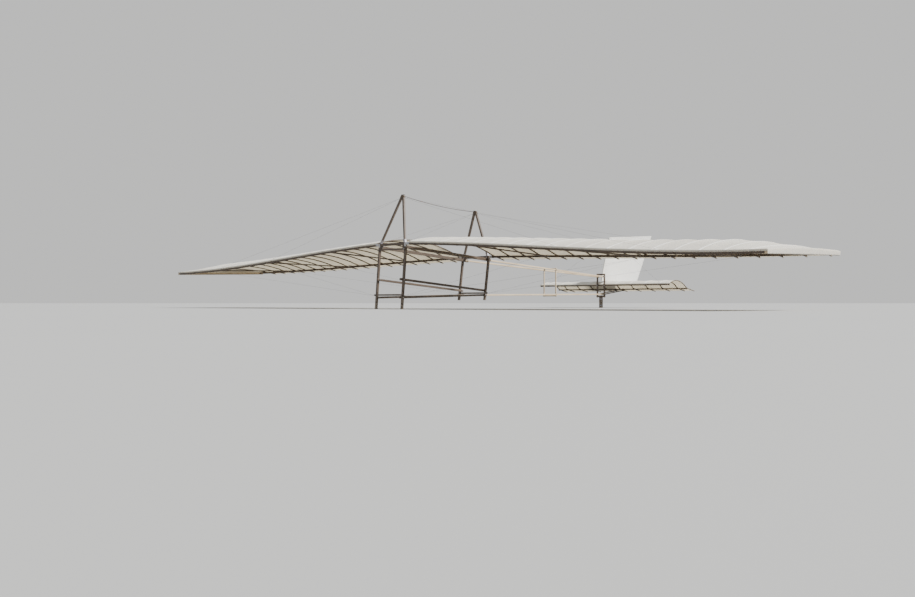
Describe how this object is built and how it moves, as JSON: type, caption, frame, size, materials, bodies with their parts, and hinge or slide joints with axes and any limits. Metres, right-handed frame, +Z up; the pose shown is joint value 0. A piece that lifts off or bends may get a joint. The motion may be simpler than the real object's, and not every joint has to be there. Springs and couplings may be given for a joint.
{
  "type": "wooden monoplane hang glider",
  "caption": "Wooden monoplane hang glider: cloth-covered drooping wings, an open box frame for a standing pilot, king posts, a slender lattice boom and a fixed tail.",
  "frame": {"origin": "on the ground, below the middle of the bounding box, with the glider parked on its front feet and tail skid", "axes": "+Z up, the nose towards -Y, the tail towards +Y, the left (port) wing towards +X"},
  "size_m": [10.6, 6.2914, 1.5283],
  "materials": {
    "frame_wood": "varnished, weathered",
    "boom_wood": "bare spruce",
    "cloth": "unbleached cotton",
    "steel": "dull"
  },
  "bodies": {
    "root": {"front_post_left": "frame_wood", "front_post_right": "frame_wood", "rear_post_left": "frame_wood", "rear_post_right": "frame_wood", "front_centre_bar": "frame_wood", "rear_centre_bar": "frame_wood", "front_upper_tie": "frame_wood", "front_lower_tie": "frame_wood", "rear_lower_tie": "frame_wood", "top_beam_left": "frame_wood", "top_beam_right": "frame_wood", "hand_rail_left": "frame_wood", "hand_rail_right": "frame_wood", "lower_rail_left": "frame_wood", "lower_rail_right": "frame_wood", "front_king_leg_left": "frame_wood", "front_king_leg_right": "frame_wood", "front_king_plate": "steel", "rear_king_leg_left": "frame_wood", "rear_king_leg_right": "frame_wood", "rear_king_plate": "steel", "front_spar_left": "frame_wood", "front_spar_right": "frame_wood", "rear_spar_and_ribs_left": "frame_wood", "rear_spar_and_ribs_right": "frame_wood", "tip_bar_left": "boom_wood", "tip_bar_right": "boom_wood", "wing_skin_left": "cloth", "wing_skin_right": "cloth", "wing_strut_1_left": "frame_wood", "wing_strut_2_left": "frame_wood", "wing_strut_3_left": "frame_wood", "wing_strut_1_right": "frame_wood", "wing_strut_2_right": "frame_wood", "wing_strut_3_right": "frame_wood", "boom_upper_rail_left": "boom_wood", "boom_upper_rail_right": "boom_wood", "boom_lower_rail_left": "boom_wood", "boom_lower_rail_right": "boom_wood", "boom_upright_left": "boom_wood", "boom_upright_right": "boom_wood", "boom_upper_cross_stick": "boom_wood", "boom_lower_cross_stick": "boom_wood", "tail_post_left": "frame_wood", "tail_post_right": "frame_wood", "tail_head_block": "frame_wood", "tail_skid": "frame_wood", "tail_front_spar": "frame_wood", "tail_rear_spar_and_ribs": "frame_wood", "tailplane_skin": "cloth", "tailplane_strut_left": "frame_wood", "tailplane_strut_right": "frame_wood", "fin": "cloth", "main_stay": "steel"}
  },
  "joints": []
}
